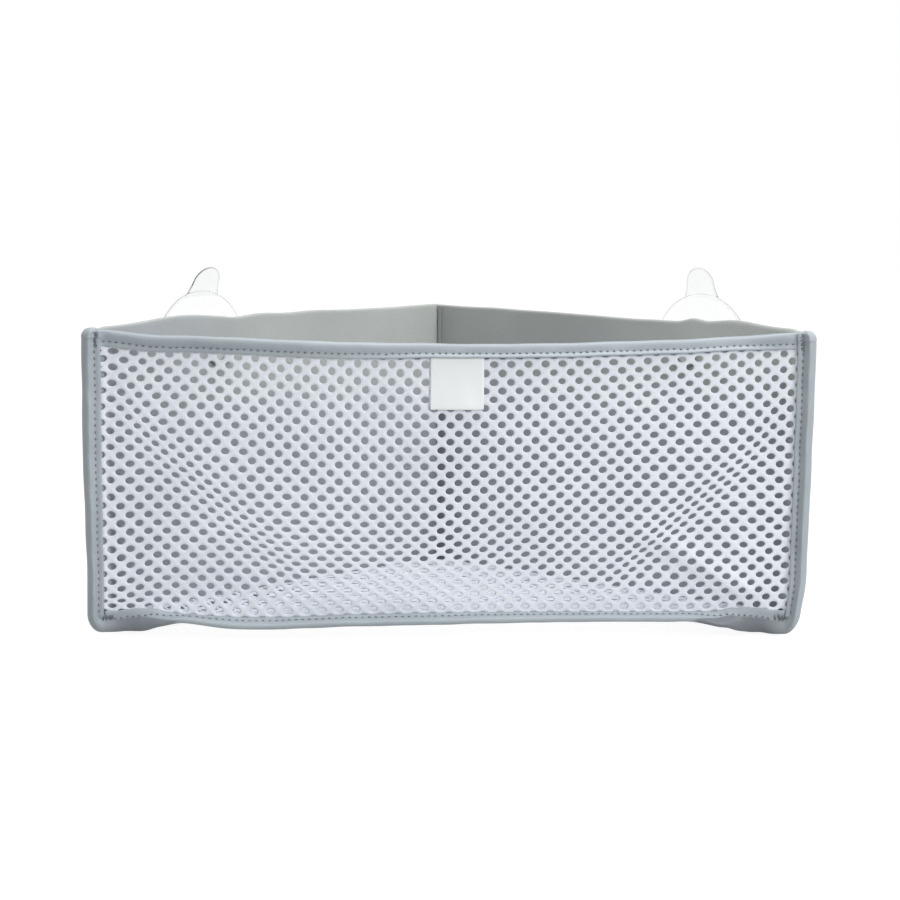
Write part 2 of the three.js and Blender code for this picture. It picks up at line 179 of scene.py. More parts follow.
def settle(points):
    """How the hung cloth has settled: both front edges lean in towards the floor."""
    p = np.array(points, float)
    x, z = p[..., 0].copy(), p[..., 2]
    left = 1.9 * ease((105 - z) / 75) * (0.3 * ease(-x / HALF_FRONT) + 0.7 * ease((-x - 180) / 11))
    right = 3.0 * np.clip(1 - z / 150, 0, 1) + 3.0 * ease((34 - z) / 34)
    right *= (0.62 * ease(x / HALF_FRONT) + 0.38 * ease((x - 180) / 11))
    p[..., 0] += left - right
    return p


def quads(rows, columns, wrap=False):
    """Faces over points laid out row by row. With wrap, the last column joins the first."""
    low = np.arange(rows - 1)[:, None] * columns
    high = low + columns
    j = np.arange(columns if wrap else columns - 1)
    k = (j + 1) % columns
    return np.stack([low + j, low + k, high + k, high + j], -1).reshape(-1, 4)


def bridge(first, second):
    """Faces between closed rows of points, pair by pair."""
    corners = first, np.roll(first, -1, -1), np.roll(second, -1, -1), second
    return np.stack(corners, -1).reshape(-1, 4).tolist()


def shifted(faces, start):
    return [[start + i for i in f] for f in faces]


def grid_rim(rows, columns):
    """Rows and columns of the points round the rim of a grid."""
    rim = [(i, 0) for i in range(rows - 1)] + [(rows - 1, j) for j in range(columns - 1)]
    rim += [(rows - 1 - i, columns - 1 - j) for i, j in rim]
    return np.array(rim).T


def add_object(name, data):
    obj = bpy.data.objects.new(name, data)
    bpy.context.scene.collection.objects.link(obj)
    return obj


def add_mesh(name, points, faces, material, uv=None, soft=True):
    """A smooth mesh from points in millimetres. With soft, it settles as the cloth does."""
    points = settle(points) if soft else np.asarray(points, float)
    mesh = bpy.data.meshes.new(name)
    mesh.from_pydata((points * MM).tolist(), [], [list(map(int, f)) for f in faces])
    if uv is not None:
        layer = mesh.uv_layers.new(name="cloth")
        index = np.zeros(len(mesh.loops), np.int32)
        mesh.loops.foreach_get("vertex_index", index)
        layer.data.foreach_set("uv", (np.asarray(uv, np.float32) * MM)[index].ravel())
    bm = bmesh.new()
    bm.from_mesh(mesh)
    bmesh.ops.recalc_face_normals(bm, faces=bm.faces)
    bm.to_mesh(mesh)
    bm.free()
    mesh.polygons.foreach_set("use_smooth", np.ones(len(mesh.polygons), bool))
    mesh.materials.append(material)
    return add_object(name, mesh)


def loft(rings):
    """Points and faces through closed rings, with both ends closed."""
    count, around = rings.shape[:2]
    faces = quads(count, around, True).tolist()
    last = (count - 1) * around
    faces += [list(range(around)), list(range(last, last + around))]
    return rings.reshape(-1, 3), faces


def stand(obj, node, body="bin"):
    """The piece stands for a node of the part and moves with its body."""
    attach(obj, body)
    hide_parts(node)
    return obj


# Materials
def set_inputs(tree, node, inputs):
    """Links the sockets among a node's inputs and sets its other values."""
    for key, value in inputs.items():
        if isinstance(value, bpy.types.NodeSocket):
            tree.links.new(value, node.inputs[key])
        else:
            node.inputs[key].default_value = value


def add_node(tree, kind, inputs=None, **settings):
    made = tree.nodes.new(f"ShaderNode{kind}")
    for key, value in settings.items():
        setattr(made, key, value)
    set_inputs(tree, made, inputs or {})
    return made


def new_material(name):
    material = bpy.data.materials.new(name)
    material.use_nodes = True
    tree = material.node_tree
    shader = tree.nodes["Principled BSDF"]
    coords = add_node(tree, "TexCoord")
    return material, tree, shader, coords


def noise(tree, vector, scale, detail=3.0, rough=0.55):
    inputs = {"Vector": vector, "Scale": scale, "Detail": detail, "Roughness": rough}
    return add_node(tree, "TexNoise", inputs).outputs["Fac"]


def blend_value(tree, a, b, factor):
    """a towards b by a fixed share."""
    mixed = add_node(tree, "Mix", {"Factor": factor, "A": a, "B": b})
    return mixed.outputs["Result"]


def tones(tree, value, dark, light):
    """A value's colour, from dark to light over its middle."""
    ramp = add_node(tree, "ValToRGB", {"Fac": value})
    ends = ramp.color_ramp.elements
    ends[0].position, ends[1].position = 0.3, 0.7
    ends[0].color, ends[1].color = (*dark, 1), (*light, 1)
    return ramp.outputs["Color"]


def spread(tree, value, low, high):
    inputs = {"Value": value, "To Min": low, "To Max": high}
    return add_node(tree, "MapRange", inputs).outputs["Result"]


def cloth(name, dark, light, rough, weave, relief, sheen=0.0, along="Object", others=()):
    """Cloth: slow patches and fine grain in its colour, and a ribbed weave in its relief.

    others names the painted shades and painted light that a piece's points may show instead, by attribute.
    """
    material, tree, shader, coords = new_material(name)
    place = coords.outputs["Object"]
    patches = noise(tree, place, 25.0, 2.0)
    grain = noise(tree, place, weave * 0.7, 4.0, 0.7)
    mottle = blend_value(tree, patches, grain, 0.55)
    colour = tones(tree, mottle, dark, light)
    for attribute, tone in others:
        shown = add_node(tree, "Attribute", attribute_name=attribute)
        inputs = {0: shown.outputs["Fac"], 6: colour, 7: tones(tree, mottle, *tone)}
        colour = add_node(tree, "Mix", inputs, data_type="RGBA").outputs[2]
    ribs = {"Vector": coords.outputs[along], "Scale": weave / 6.3, "Distortion": 1.5, "Detail": 1.0,
            "Detail Scale": 1.5}
    ways = "X", "Z" if along == "Object" else "Y"
    wale, course = (add_node(tree, "TexWave", ribs, bands_direction=way).outputs["Fac"] for way in ways)
    height = blend_value(tree, blend_value(tree, wale, course, 0.5), grain, 0.4)
    inputs = {"Height": height, "Strength": 0.6, "Distance": relief * MM}
    set_inputs(tree, shader, {
        "Base Color": colour,
        "Roughness": spread(tree, grain, rough - 0.1, rough + 0.1),
        "Normal": add_node(tree, "Bump", inputs).outputs["Normal"],
        "Sheen Weight": sheen,
        "Sheen Roughness": 0.5,
        "Specular IOR Level": 0.3,
    })
    return material


def set_tone(piece, attribute, share):
    """How much of a painted shade or painted light each point shows. Points after the last share show none.
    """
    shown = np.zeros(len(piece.data.vertices))
    shown[:share.size] = share.ravel()
    piece.data.attributes.new(attribute, "FLOAT", "POINT").data.foreach_set("value", shown)


# Painted shade and light for the walls: a darker inside, a dark strip by the corner seam and a lighter top
FOAM_PAINTED_LIGHT_AND_SHADE = [("inside_painted_shade", ((0.352, 0.372, 0.405), (0.426, 0.449, 0.486))),
              ("seam_painted_shade", ((0.115, 0.12, 0.122), (0.15, 0.156, 0.158))),
              ("painted_light", ((0.535, 0.562, 0.547), (0.647, 0.678, 0.656)))]
FOAM = cloth("foam_cloth", (0.396, 0.416, 0.405), (0.479, 0.502, 0.486), 0.85, 1300.0, 0.05,
             sheen=0.1, others=FOAM_PAINTED_LIGHT_AND_SHADE)
KNIT = cloth("knitted_net", (0.722, 0.757, 0.835), (0.838, 0.872, 0.945), 0.75, 1500.0, 0.14, sheen=0.1)
# Painted shade for the tape's front by the lower corners
TAPE_PAINTED_SHADE = [("twist_painted_shade", ((0.15, 0.168, 0.19), (0.215, 0.236, 0.262)))]
TAPE = cloth("binding_tape", (0.31, 0.355, 0.39), (0.43, 0.48, 0.515), 0.42, 2200.0, 0.05,
             along="UV", others=TAPE_PAINTED_SHADE)
THREAD = cloth("sewing_thread", (0.13, 0.147, 0.168), (0.22, 0.238, 0.26), 0.6, 2600.0, 0.08)
RIBBON = cloth("label_ribbon", (0.82, 0.85, 0.872), (0.87, 0.898, 0.915), 0.55, 2600.0, 0.05)


def clear_vinyl(name, dark, light, rough, bend, clear=1.0):
    """Clear vinyl with haze in its colour and slow swirls in its relief."""
    material, tree, shader, coords = new_material(name)
    haze = noise(tree, coords.outputs["Object"], 60.0)
    swirl = noise(tree, coords.outputs["Object"], 140.0, 2.0)
    inputs = {"Height": swirl, "Strength": 0.25, "Distance": 0.2 * MM}
    set_inputs(tree, shader, {
        "Base Color": tones(tree, haze, dark, light),
        "Roughness": spread(tree, haze, rough - 0.06, rough + 0.06),
        "Normal": add_node(tree, "Bump", inputs).outputs["Normal"],
        "Transmission Weight": clear,
        "IOR": bend,
    })
    return material


VINYL = clear_vinyl("clear_vinyl", (0.92, 0.926, 0.928), (0.95, 0.955, 0.957), 0.14, 1.2)
STUD_VINYL = clear_vinyl("clear_vinyl_stud", (0.4, 0.42, 0.41), (0.46, 0.48, 0.47), 0.45, 1.06,
                         clear=0.3)
# Painted shade: a greyer vinyl on the rim and the tab's edges, standing in for the dark outline that
# refraction gives there
EDGE_SHADE_VINYL = clear_vinyl("clear_vinyl_painted_edge_shade", (0.74, 0.745, 0.752), (0.8, 0.805, 0.81), 0.3, 1.2)


# Sewing
def threads(name, centres, up, aside):
    """Short lengths of thread. centres is stitches by steps by 3; up and aside are across each."""
    steps = centres.shape[1]
    turn = np.linspace(0, 2 * pi, 6, endpoint=False)
    swell_out = THREAD_RADIUS * (1 - 0.65 * np.abs(np.linspace(-1, 1, steps)) ** 4)
    ring = np.cos(turn)[:, None] * up[:, None, None, :]
    ring = ring + np.sin(turn)[:, None] * aside[:, None, None, :]
    points = centres[:, :, None, :] + swell_out[:, None, None] * ring
    stitch = loft(points[0])[1]
    points = points.reshape(-1, 3)
    faces = []
    for start in range(0, len(points), steps * len(turn)):
        faces += shifted(stitch, start)
    made = add_mesh(name, points, faces, THREAD)
    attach(made, "bin")
    return made


def resample(frames, fine_end):
    """Lengths to each key frame, the frames as rows, and the lengths to the stations."""
    keys = np.array([np.concatenate([*key[:3], key[3:]]) for key in frames])
    at = np.r_[0, np.cumsum(np.linalg.norm(np.diff(keys[:, :3], axis=0), axis=1))]
    plain = at[-1] - fine_end
    s = np.linspace(0, plain, round(plain / TAPE_STEP) + 1)
    if fine_end:
        s = np.append(s, np.linspace(plain, at[-1], round(fine_end / TAPE_END_STEP) + 1)[1:])
    return at, keys, np.insert(s, [1, len(s) - 1], [0.05, at[-1] - 0.05])


def stations_at(at, keys, s):
    """The key frames' values, s along the tape."""
    values = np.stack([np.interp(s, at, keys[:, i]) for i in range(keys.shape[1])], -1)
    return values[..., 0:3], values[..., 3:6], values[..., 6:9], *np.moveaxis(values[..., 9:], -1, 0)


def tape_half(d, s, half, roll, quiet, seed, line):
    """Half the thickness of a sewn fold of tape, d in from its fold and s along it."""
    fold = np.sqrt(1 - (1 - np.minimum(d / np.minimum(half, 2.6), 1)) ** 2)
    rise = roll * hump(d, 3.1 - 0.85 * roll, 1.7) * (1 + 0.6 * quiet * ripple(s, (17, 29, 47), seed))
    tuck = 0.72 + 0.28 * np.cos(2 * pi * s / STITCH_PITCH)
    pinch = np.minimum(0.3, 0.2 * half) * hump(d, line, 0.6) * tuck + 0.2 * half * hump(d, line, 1.7)
    lip = 0.12 * hump(d, line + 1.9, 0.8) * (1 + quiet * ripple(s, (7, 11, 19), seed + 1))
    return half * fold + rise * fold - pinch + lip


def rounding(radius, left):
    """How far a round lies in from a square end, with left of the way to that end."""
    return radius - np.sqrt(radius**2 - np.clip(radius - left, 0, radius) ** 2)


def tape_run(frames, seed, rounded_end, full, line):
    """One run of folded tape, with functions for places on its faces and the way across it."""
    at, keys, s = resample(frames, TAPE_END if rounded_end else 0.0)
    length = at[-1]
    face = full * np.linspace(0, 1, FACE_STEPS) ** 1.4
    inner = np.linspace(full, 1.6, INNER_STEPS)
    edge = full + 0.15
    d = np.r_[face[::-1], face[1:], edge, inner, inner[::-1], edge]
    side = np.repeat([-1.0, 1.0, -1.0], [FACE_STEPS, FACE_STEPS + INNER_STEPS, INNER_STEPS + 1])
    outside = 2 * FACE_STEPS - 1
    depth = TAPE_THICKNESS * np.repeat([0, 0.5, 1, 0.5], [outside, 1, 2 * INNER_STEPS, 1])

    def surface(s, d, side, depth):
        origin, outward, across, middle, half, kink, roll = stations_at(at, keys, s)
        quiet = ease(s / 14) * (1 if rounded_end else ease((length - s) / 14))
        thick = tape_half(np.minimum(d, full), s, half, roll, quiet, seed, line)
        inward = 0.0
        if rounded_end:
            left = length - s
            thick += 0.6 * ease((5.6 - left) / 0.5)
            thick *= (1 - 0.9 * rounding(TAPE_CLOSING, left) / TAPE_CLOSING)
            share = np.minimum(d / full, 1)
            inward = rounding(TAPE_END_ROUND, left) * (1 - share) - rounding(TAPE_EDGE_ROUND, left) * share
        thick = np.maximum(thick - np.minimum(depth, 0.7 * half), 0.04)
        out = TAPE_FOLD - d - inward + 0.25 * quiet * ripple(s, (31, 53, 89), seed + 2)
        over = middle + side * thick + 0.14 * quiet * ripple(s, (37, 61, 23), seed + 3)
        over += kink * np.maximum(line - d, 0)
        return origin + out[..., None] * outward + over[..., None] * across

    grid_d, grid_s = np.broadcast_arrays(d, s[:, None])
    rings = surface(grid_s, grid_d, side, depth)
    points, faces = loft(rings)
    uv = np.stack([grid_s, side * grid_d], -1).reshape(-1, 2)
    width = np.linalg.norm(np.diff(rings[:, :outside], axis=1), axis=2).sum(1).mean()
    return points, faces, uv, length, width, surface, lambda s: stations_at(at, keys, s)[2]


def sew(surface, across_at, starts, ends, face_side):
    """Stitches between pairs of places, each place s along the tape and d in from its fold."""
    t = np.linspace(0, 1, 5)
    line = starts[:, None, :] + t[:, None] * (ends - starts)[:, None, :]
    s, d = line[..., 0], line[..., 1]
    base = surface(s, d, np.full(s.shape, float(face_side)), np.zeros(s.shape))
    arch = 0.05 + 0.2 * (1 - (2 * t - 1) ** 2)
    up = unit(across_at(s)[:, 2]) * face_side
    centres = base + arch[:, None] * up[:, None, :]
    run = unit(centres[:, -1] - centres[:, 0])
    return centres, up, unit(np.cross(run, up))


def bar_tack(rng, s, d):
    """Ends of the crossed stitches that lock a seam about a place on the tape."""
    count = 9
    along = s + np.linspace(-3.8, 3.8, count) + rng.normal(0, 0.4, count)
    reach = 1.0 + rng.normal(0, 0.4, count)
    tilt = rng.normal(0, 0.8, count)
    return np.stack([along - tilt, d - reach], -1), np.stack([along + tilt, d + reach], -1)


def twist_shade_share(x, d):
    """Painted shade by the lower corners, below the stitches, where the tape's twist turns its lower half
    down into shade.
    """
    reach = np.maximum(ease((-139 - x) / 24), ease((x - 128) / 24))
    share = np.where(x < 0, 0.8, 1.0) * ease((184 - np.abs(x)) / 14)
    return share * ease((STITCH_LINE * reach - d) / 0.8)


def tape(name, node, runs, seed, rounded_end=False, full=TAPE_WIDTH, line=STITCH_LINE, tacks=(),
         paint_twist_shade=False):
    """A tape folded over the panels' edges and sewn through, in one or more runs."""
    rng = np.random.default_rng(seed)
    points, faces, uv, seams = [], [], [], {-1: [], 1: []}
    start, area, total = 0, 0.0, 0.0
    for order, frames in enumerate(runs):
        last = rounded_end and order == len(runs) - 1
        run = tape_run(frames, seed + 7 * order, last, full, line)
        run_points, run_faces, run_uv, length, width, surface, across_at = run
        faces += shifted(run_faces, start)
        start += len(run_points)
        points.append(run_points)
        uv.append(run_uv)
        area, total = area + length * width, total + length
        middle = np.arange(0.5, length / STITCH_PITCH - (2.0 if last else 0.5)) * STITCH_PITCH
        count = len(middle)
        middle = middle + rng.normal(0, 0.1, count)
        for side in seams:
            slip, slant = rng.normal(0, 0.1, count), rng.normal(0, 0.12, count)
            long = STITCH_LENGTH / 2 * (1 + rng.normal(0, 0.08, count))
            starts = np.stack([middle - long, line + slip - slant], -1)
            ends = np.stack([middle + long, line + slip + slant], -1)
            seams[side].append(sew(surface, across_at, starts, ends, side))
    for s, d in tacks:
        starts, ends = bar_tack(rng, s % length, d)
        seams[-1].append(sew(surface, across_at, starts, ends, -1))
    points, uv = np.concatenate(points), np.concatenate(uv)
    piece = stand(add_mesh(name, points, faces, TAPE, uv), node)
    if paint_twist_shade:
        # Painted shade on the tape's front where it twists by the lower corners
        shown = twist_shade_share(points[:, 0], np.abs(uv[:, 1])) * (uv[:, 1] < 0.3)
        set_tone(piece, "twist_painted_shade", shown)
    for side, sewing in seams.items():
        centres, up, aside = (np.concatenate(parts) for parts in zip(*sewing))
        threads(f"{name}_stitches_{'front' if side < 0 else 'back'}", centres, up, aside)


# Walls
def wall_frame(side):
    """Corner, along, outward and up for the wall on one side."""
    rows = [0, CORNER_Y, 0], [side * HALF, -HALF, 0], [side * HALF, HALF, 0], [0, 0, 1]
    return np.array(rows, float)


def wall_place(side, a, n, z):
    """A point a along the wall from the corner and n out from its inside. The front seam bends it."""
    corner, along, outward, up = wall_frame(side)
    bend = np.maximum(a - WALL_LENGTH, 0)
    a = np.minimum(a, WALL_LENGTH) + bend * SEAM_COS - np.where(bend > 0, n * SEAM_SIN, 0)
    n = np.where(bend > 0, n * SEAM_COS, n) + bend * SEAM_SIN
    return corner + a[..., None] * along + n[..., None] * outward + z[..., None] * up


def wall_top(side, a):
    """Height of a wall's cut edge. It stands up in front of the cup and dips beside it."""
    if side < 0:
        rise = 0.9 + 0.2 * ease((a - 40) / 60) + 1.1 * hump(a, 106, 22)
        rise += 1.3 * hump(a, 141, 15)
        rise += 3.3 * hump(a, 200, 32) * (0.25 + 0.75 * ease((a - 159) / 12))
    else:
        rise = 0.6 + 0.4 * ease((a - 20) / 30) + 2.0 * hump(a, 187, 7)
        rise += 2.2 * hump(a, 216, 18) + 0.7 * ease((a - 170) / 40)
    rise *= ease((WALL_LENGTH + 6 - a) / 8)
    return WALL_HEIGHT + rise + 0.2 * ripple(a, (61, 97, 43), 5 + side) * ease(a / 20)


def wall_sway(side, a, z):
    """Slow waves of the foam cloth, still where the cup is held, and the rolled edge of the corner seam."""
    place = WALL_LENGTH - CUP_INSET[side]
    calm = 1 - np.exp(-(((a - place) ** 2 + (z - CUP_Z) ** 2) / 40**2))
    ends = ease(a / 25) * ease((WALL_LENGTH - a) / 25) * ease(z / 25)
    sway = 1.1 * swell(a, z, 150, 20 + side) * calm * ends
    if side > 0:
        sway = sway - 1.5 * (1 - ease(a / 24)) + 0.35 * hump(a, 3.4, 0.6)
    return sway


def make_wall(side):
    """A back wall with the hole for its cup and the corner seam's allowance."""
    name = f"{SIDES[side]}_wall_panel"
    place = WALL_LENGTH - CUP_INSET[side]
    box = 8.0
    edge = 0.9
    end = WALL_LENGTH + SEAM_DEPTH - 0.6
    a = np.r_[
        np.linspace(MITRE + edge, MITRE + 6.9, 13),
        np.linspace(MITRE + 9, place - box, 40)[:-1],
        np.linspace(place - box, place + box, 9),
        np.linspace(place + box, WALL_LENGTH - 0.5, 20)[1:],
        np.linspace(WALL_LENGTH + 0.5, end - 2 * edge, 4),
        end - edge,
    ]
    share = np.r_[0, 0.01, np.linspace(0.03, 1, 30)]
    hole_low, hole_high = CUP_Z - box, CUP_Z + box
    bend = np.clip(a - WALL_LENGTH - SEAM_DEPTH + SEAM_CORNER, 0, SEAM_CORNER)
    low_z = TAPE_FOLD + SEAM_CORNER - np.sqrt(SEAM_CORNER**2 - bend**2) + edge
    lower = low_z[:, None] + share * (hole_low - low_z)[:, None]
    middle = np.broadcast_to(np.linspace(hole_low, hole_high, 9)[1:], (len(a), 8))
    top = wall_top(side, a) - edge
    upper = hole_high + np.array([0.5, 0.85, 1.0]) * (top - hole_high)[:, None]
    z = np.concatenate([lower, middle, upper], axis=1)
    rows, columns = z.shape
    grid_a = np.broadcast_to(a[:, None], z.shape)
    first_row = int(np.argmin(np.abs(a - (place - box))))
    first_column = lower.shape[1] - 1
    steps = 8

    def layer(n):
        return wall_place(side, grid_a, n + wall_sway(side, grid_a, z), z).reshape(-1, 3)

    flat = quads(rows, columns)
    row, column = np.divmod(flat[:, 0], columns)
    row, column = row - first_row, column - first_column
    kept = flat[(row < 0) | (row >= steps) | (column < 0) | (column >= steps)]
    count = rows * columns
    points = [layer(0.0), layer(WALL_THICKNESS)]
    faces = kept.tolist() + (kept + count).tolist()

    def add_ring(previous, place):
        ring = sum(map(len, points)) + np.arange(len(place))
        points.append(place)
        faces.extend(bridge(previous, ring))
        return ring

    # Rounded cut edge between the two faces
    li, lj = grid_rim(rows, columns)
    push_a = edge * ((li == rows - 1) * 1.0 - (li == 0))
    push_z = edge * ((lj == columns - 1) * 1.0 - (lj == 0))
    ring = rim = li * columns + lj
    for push, n in ((0.7, 0.25), (1.0, 0.9), (1.0, 2.1), (0.7, 2.75)):
        ea, ez = grid_a[li, lj] + push * push_a, z[li, lj] + push * push_z
        ring = add_ring(ring, wall_place(side, ea, n + wall_sway(side, ea, ez), ez))
    faces += bridge(ring, count + rim)

    # Hole for the cup's neck
    si, sj = grid_rim(steps + 1, steps + 1)
    sa, sz = a[first_row + si], z[first_row, first_column + sj]
    angle = np.arctan2(sz - CUP_Z, sa - place)
    rims = []
    radius = NECK_RADIUS + NECK_CLEARANCE
    for n, base in ((0.0, 0), (WALL_THICKNESS, count)):
        ring = base + (first_row + si) * columns + first_column + sj
        for t in (0.5, 1.0):
            ra = sa + t * (place + radius * np.cos(angle) - sa)
            rz = sz + t * (CUP_Z + radius * np.sin(angle) - sz)
            ring = add_ring(ring, wall_place(side, ra, np.full(len(ra), n), rz))
        rims.append(ring)
    faces += bridge(*rims)

    # Seam allowance behind the corner
    depth = np.array([0.3, 2, 5, ALLOWANCE - 0.6, ALLOWANCE])
    zs = np.linspace(TAPE_TOP + ALLOWANCE_LIFT, WALL_HEIGHT - 2.5, 60)
    gap = LAYER_GAP / 2
    back = gap + WALL_THICKNESS
    ring_x = side * np.repeat([gap, gap + 0.5, back - 0.6, back], [4, 1, 1, 4])
    ring_y = np.r_[depth, depth[::-1]] + CORNER_Y
    fray = 0.3 * ripple(zs, (9, 14, 31), 40 + side)
    frayed_y = ring_y + fray[:, None] * (ring_y - CORNER_Y > 6)
    rings = np.broadcast_arrays(ring_x, frayed_y, zs[:, None])
    flap_points, flap_faces = loft(np.stack(rings, -1))
    faces += shifted(flap_faces, sum(map(len, points)))
    points.append(flap_points)

    wall = add_mesh(name, np.concatenate(points), faces, FOAM)
    stand(wall, f"{SIDES[side]}_wall")

    # Painted shade and painted light on its inside face
    # Painted shade: the inside is darker and bluer below the hem's height, and on the left wall towards its
    # front, where the net shades it
    inside = ease((INSIDE_SHADE_Z - z) / 42)
    if side < 0:
        inside = np.maximum(inside, 0.7 * ease((grid_a - 120) / 100))
    set_tone(wall, "inside_painted_shade", inside)
    if side > 0:
        # Painted light: the right wall's top is lighter towards its front end, where more light reaches it
        set_tone(wall, "painted_light", 0.95 * ease((grid_a - 80) / 160) * ease((z - 130) / 16))
        # Painted shade: the right wall darkens by the corner seam, more so low down, where the crease lies
        # in shade
        by_seam = np.exp(-grid_a / SEAM_SHADE_REACH)
        set_tone(wall, "seam_painted_shade", by_seam * (0.45 + 0.45 * ease((INSIDE_SHADE_Z - z) / 25)))

    # Seam through the allowance
    zs = np.arange(TAPE_TOP + 5, WALL_HEIGHT - 3, STITCH_PITCH)
    run = zs[:, None] + np.linspace(-0.5, 0.5, 5) * STITCH_LENGTH
    arch = 0.02 + 0.1 * (1 - np.linspace(-1, 1, 5) ** 2)
    centres = np.stack(np.broadcast_arrays(side * (back + arch), CORNER_Y + 3.5, run), -1)
    ways = [np.tile(way, (len(zs), 1)) for way in ([side, 0, 0], [0, 1, 0])]
    seams = [threads(f"{name}_allowance_stitches", centres, *ways)]
    flat = (end + ALLOWANCE, WALL_HEIGHT - TAPE_FOLD)


# Bindings. Each key frame holds the panels' edge, the ways out and across, and the fold's
# middle, half thickness, kink and roll.
SIDE_MIDDLE = sum(UPRIGHT_SLOT) / 2
SIDE_HALF = (UPRIGHT_SLOT[1] - UPRIGHT_SLOT[0]) / 2 + TAPE_THICKNESS
ARC_TOP = TAPE_FOLD + SEAM_CORNER


def seam_frame(side):
    """Fold line, way out and way across of the upright seam on one side."""
    corner, along, outward, up = wall_frame(side)
    fin = SEAM_COS * along + SEAM_SIN * outward
    across = -SEAM_SIN * along + SEAM_COS * outward
    return corner + WALL_LENGTH * along, fin, across, up


def foot_frames(side):
    """Along the foot of a wall."""
    corner, along, outward, up = wall_frame(side)
    low = corner + TAPE_FOLD * up
    plain = (SIDE_MIDDLE, SIDE_HALF, 0, TAPE_ROLL)
    return [
        (low + MITRE * along, -up, outward - along, *plain),
        (low + 4 * along, -up, outward, *plain),
        (low + (WALL_LENGTH - 8) * along, -up, outward, *plain),
        (low + (WALL_LENGTH - 1) * along, -up, outward, SIDE_MIDDLE + 0.6, SIDE_HALF - 0.8, 0, TAPE_ROLL),
    ]


def upright_frames(side):
    """Up the front seam, from the round of the lower corner."""
    fold, fin, across, up = seam_frame(side)
    edge = fold + SEAM_DEPTH * fin
    heights = (ARC_TOP, WALL_HEIGHT + TAPE_FOLD)
    return [(edge + z * up, fin, across, SIDE_MIDDLE, SIDE_HALF, 0, UPRIGHT_ROLL) for z in heights]


def foot_z(x):
    """Height of the lower front seam's upper edge. It dips on the left and rises to the corners."""
    dip = 3.1 * hump(x, -100, 50) + 0.6 * hump(x, -20, 40)
    return FOOT_Z + 1.2 * ease((np.abs(x) - 125) / 40) - dip


def lower_turn(x):
    """Turn of the lower seam: it hangs at the corners and stands out to the front between them."""
    open_turn = 69 + 9 * ease((x + 20) / 110) + 13 * hump(x, -139, 16)
    share = np.minimum(ease((x + 174) / 36), ease((172 - x) / 46))
    return np.radians(4 + open_turn * share)


def lower_lift(x):
    """Rise and fall of the lower tape where it twists."""
    return 1.1 * hump(x, -155, 6) + hump(x, 151, 4.5) - 1.1 * hump(x, 165, 4.5)


def corner_round(side):
    """Round the lower corner, from the upright seam down to the floor."""
    fold, fin, across, up = seam_frame(side)
    frames = []
    for turn in np.linspace(pi / 2, 0, 12):
        reach = SEAM_DEPTH - SEAM_CORNER * (1 - sin(turn))
        z = TAPE_FOLD + SEAM_CORNER * (1 - cos(turn)) - CORNER_TAPE_DROP[side] * (1 - sin(turn))
        low = cos(turn) ** 2
        out = (sin(turn) * fin - cos(turn) * up) * (1 + CORNER_TAPE_SPREAD[side] * low)
        roll = UPRIGHT_ROLL + (TAPE_ROLL - UPRIGHT_ROLL) * low
        frames.append((fold + reach * fin + z * up, out, across, SIDE_MIDDLE, SIDE_HALF, 0.3 * low, roll))
    return frames


def lower_frames():
    """From one upright seam round the lower corner, along the front and up to the other seam."""
    left, right = corner_round(-1), corner_round(1)
    frames = list(left)
    for x in np.linspace(-176, 176, 260):
        turn = lower_turn(x)
        out = np.array([0, -sin(turn), -cos(turn)])
        across = np.array([0, cos(turn), -sin(turn)])
        near, bent = ease((abs(x) - 162) / 14), ease((abs(x) - 125) / 35)
        end = (left if x < 0 else right)[-1]
        hung = np.array([x, end[0][1], end[0][2]])
        stood = np.array([x, FRONT_Y - 0.6, foot_z(x) + lower_lift(x)]) + TAPE_REACH * out
        origin = stood + near * (hung - stood)
        across = across + near * near * (end[2] - across)
        half = LOWER_TAPE_HALF + near * (SIDE_HALF - 0.5 - LOWER_TAPE_HALF)
        kink = bent * (0.3 + 0.35 * (1 - near)) * cos(turn) ** 4
        out = out * (1 + CORNER_TAPE_SPREAD[-1 if x < 0 else 1] * ease((abs(x) - 140) / 30))
        frames.append((origin, out, across, near * SIDE_MIDDLE, half, kink, TAPE_ROLL))
    return frames + right[::-1]


def hem_z(x):
    """Height of the hem's upper edge. It sags in the middle and runs straighter on the left."""
    straight = 0.9 * hump(x, -113, 35) - 0.5 * hump(x, -162, 14)
    return WALL_HEIGHT - TAPE_FOLD - HEM_SAG * (1 - np.minimum(np.abs(x) / HALF_FRONT, 1) ** 2) + straight


def hem_roll(u):
    """Turn of the hem's face: it looks down on the left and up on the right."""
    return np.radians(-24 + 52 * ease((u + 112) / 125)) * ease((HALF_FRONT - np.abs(u)) / 30)


def hem_frames():
    """Along the top of the front net, with thin ends that bend into the upright seams."""
    middle, half = sum(HEM_SLOT) / 2, (HEM_SLOT[1] - HEM_SLOT[0]) / 2 + TAPE_THICKNESS
    frames = []
    for u in np.linspace(-HALF_FRONT - 6, HALF_FRONT + 6, 140):
        beyond = max(abs(u) - HALF_FRONT, 0)
        side = copysign(1, u)
        x = side * (min(abs(u), HALF_FRONT) + beyond * SEAM_COS)
        bend = side * SEAM_TURN * ease((abs(u) - HALF_FRONT + 4) / 8)
        thin = 1 - 0.55 * ease((abs(u) - 174) / 9)
        roll = hem_roll(u)
        over = np.array([sin(bend), cos(bend), 0])
        out = np.array([0, 0, cos(roll)]) + sin(roll) * over
        across = cos(roll) * over - np.array([0, 0, sin(roll)])
        place = np.array([x, FRONT_Y - beyond * SEAM_SIN, hem_z(u)])
        place += HEM_LINE * (np.array([0, 0, -1.0]) + out)
        frames.append((place, out, across, middle * thin, half * thin, 0, TAPE_ROLL))
    return frames


# Nets
NET_HEIGHT = hem_z(HALF_FRONT) - FOOT_Z


